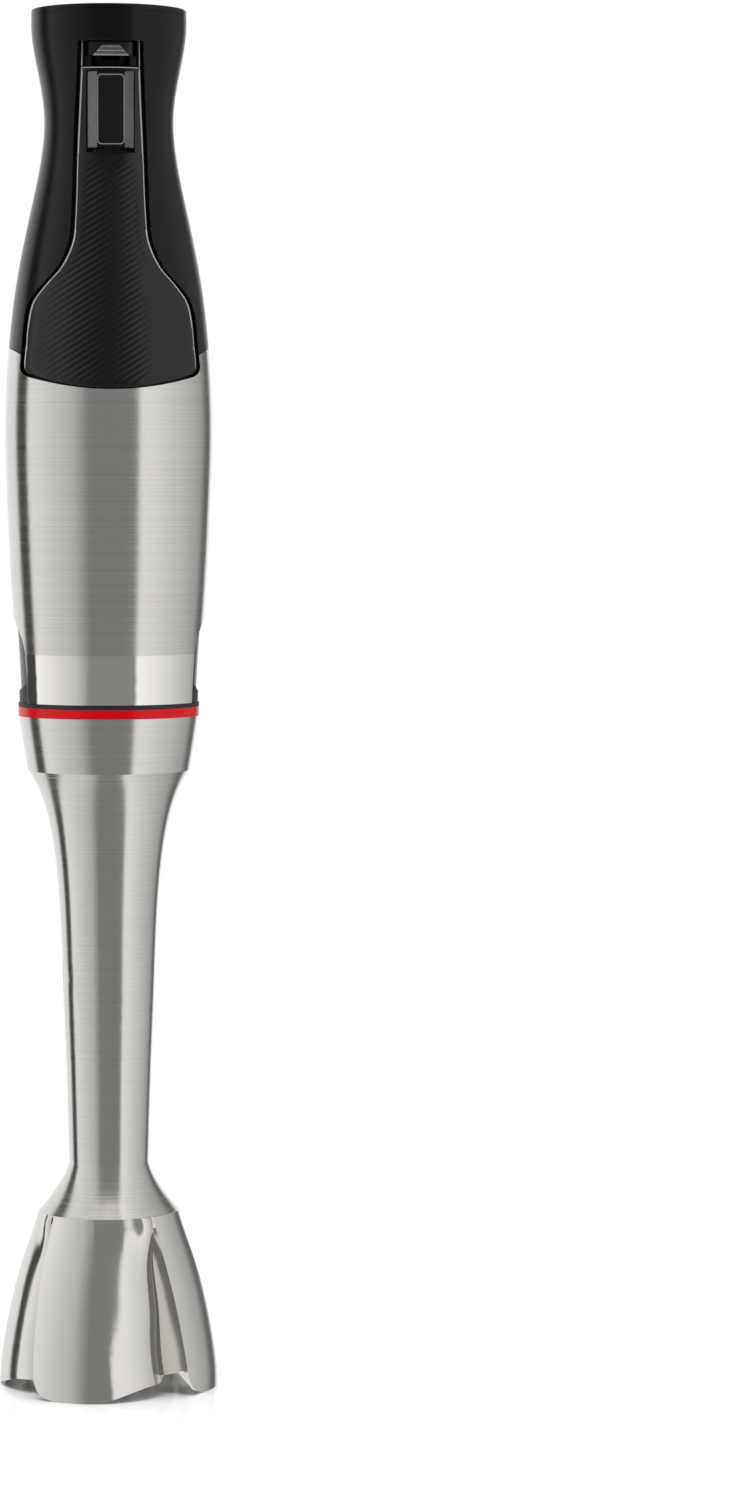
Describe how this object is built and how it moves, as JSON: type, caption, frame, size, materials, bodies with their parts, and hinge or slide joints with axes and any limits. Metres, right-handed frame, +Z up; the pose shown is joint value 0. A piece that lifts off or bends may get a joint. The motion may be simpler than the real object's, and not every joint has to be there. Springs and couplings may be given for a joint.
{
  "type": "immersion blender",
  "caption": "Corded immersion blender: steel blending foot with a lobed bell and spinning blades, detachable motor unit, squeeze trigger, safety lock and release buttons.",
  "frame": {"origin": "on the floor under the bell, on the drive axis", "axes": "+Z up along the drive axis towards the handle's cap, -Y towards the trigger side, +X to the right seen from the trigger side"},
  "size_m": [0.063, 0.063, 0.4],
  "materials": {
    "brushed_steel": "fine circumferential brushing",
    "polished_steel": "mirror polished stainless steel",
    "blade_steel": "ground edge",
    "gloss_black": "satin gloss",
    "matte_black": "fine texture",
    "soft_touch": "matte, ribbed",
    "red_ring": "gloss",
    "grey_plastic": "fine texture",
    "white_plastic": "smooth",
    "machined_steel": "turned",
    "laminated_iron": "stacked sheet",
    "copper_winding": "enamelled wire",
    "bronze": "sintered",
    "ferrite": "dull",
    "carbon": "dull",
    "rubber": "matte",
    "circuit_board": "solder mask",
    "aluminium": "satin"
  },
  "bodies": {
    "blending_foot": {"foot_bell": "polished_steel", "shaft_tube": "brushed_steel", "foot_collar": "brushed_steel", "coupling_guide": "matte_black", "foot_hub": "grey_plastic", "lower_bush": "bronze", "upper_bush": "bronze", "shaft_seal": "rubber"},
    "blade_shaft": {"drive_shaft": "machined_steel", "blade_lower": "blade_steel", "blade_upper": "blade_steel", "blade_hub": "machined_steel", "blade_nut": "machined_steel", "thrust_washer": "white_plastic", "shaft_circlip": "machined_steel", "coupling_dog": "grey_plastic"},
    "motor_unit": {"steel_sleeve": "brushed_steel", "handle_front_shell": "gloss_black", "handle_rear_shell": "gloss_black", "soft_grip": "soft_touch", "grip_backing": "matte_black", "top_cap": "gloss_black", "lower_housing": "matte_black", "red_ring": "red_ring", "cord_gland": "rubber", "lock_housing": "gloss_black", "switch_carrier": "grey_plastic", "trigger_pin": "machined_steel", "trigger_spring": "machined_steel", "speed_switch": "white_plastic", "motor_can": "machined_steel", "magnets": "ferrite", "brush_card": "grey_plastic", "lower_bearing": "bronze", "upper_bearing": "bronze", "motor_dampers": "rubber", "brush_holders": "bronze", "carbon_brushes": "carbon", "inner_frame": "grey_plastic", "control_board": "circuit_board", "board_components": "aluminium", "frame_screws": "machined_steel", "latch_springs": "machined_steel"},
    "rotor": {"motor_shaft": "machined_steel", "armature_core": "laminated_iron", "windings": "copper_winding", "commutator": "copper_winding", "cooling_fan": "white_plastic", "output_coupling": "grey_plastic"},
    "trigger": {"trigger": "gloss_black"},
    "switch_plunger": {"switch_plunger": "white_plastic"},
    "safety_lock": {"safety_lock": "gloss_black"},
    "release_button_left": {"release_button_left": "gloss_black"},
    "release_button_right": {"release_button_right": "gloss_black"}
  },
  "joints": [
    {"name": "lift_off", "type": "slide", "parent": "blending_foot", "child": "motor_unit", "axis": [0, 0, 1], "range_m": [0, 0.05]},
    {"name": "blade_spin", "type": "hinge", "parent": "blending_foot", "child": "blade_shaft", "pos_m": [0, 0, 0.05], "axis": [0, 0, 1], "continuous": true},
    {"name": "rotor_spin", "type": "hinge", "parent": "motor_unit", "child": "rotor", "pos_m": [0, 0, 0.25], "axis": [0, 0, 1], "continuous": true},
    {"name": "trigger_squeeze", "type": "hinge", "parent": "motor_unit", "child": "trigger", "pos_m": [0, -0.0116, 0.379], "axis": [1, 0, 0], "range_deg": [0, 6], "stiffness_Nm_per_rad": 0.6, "springref_deg": -2.86},
    {"name": "plunger_push", "type": "slide", "parent": "motor_unit", "child": "switch_plunger", "axis": [0, 1, 0], "range_m": [0, 0.0019]},
    {"name": "lock_slide", "type": "slide", "parent": "motor_unit", "child": "safety_lock", "axis": [0, 0, -1], "range_m": [0, 0.0026], "stiffness_N_per_m": 300, "springref_m": -0.002},
    {"name": "release_left", "type": "slide", "parent": "motor_unit", "child": "release_button_left", "axis": [1, 0, 0], "range_m": [0, 0.0022], "stiffness_N_per_m": 800, "springref_m": -0.002},
    {"name": "release_right", "type": "slide", "parent": "motor_unit", "child": "release_button_right", "axis": [-1, 0, 0], "range_m": [0, 0.0022], "stiffness_N_per_m": 800, "springref_m": -0.002}
  ],
  "couplings": [
    {"joint": "blade_spin", "follows": "rotor_spin", "ratio": 1},
    {"joint": "plunger_push", "follows": "trigger_squeeze", "m_per_rad": 0.017}
  ]
}
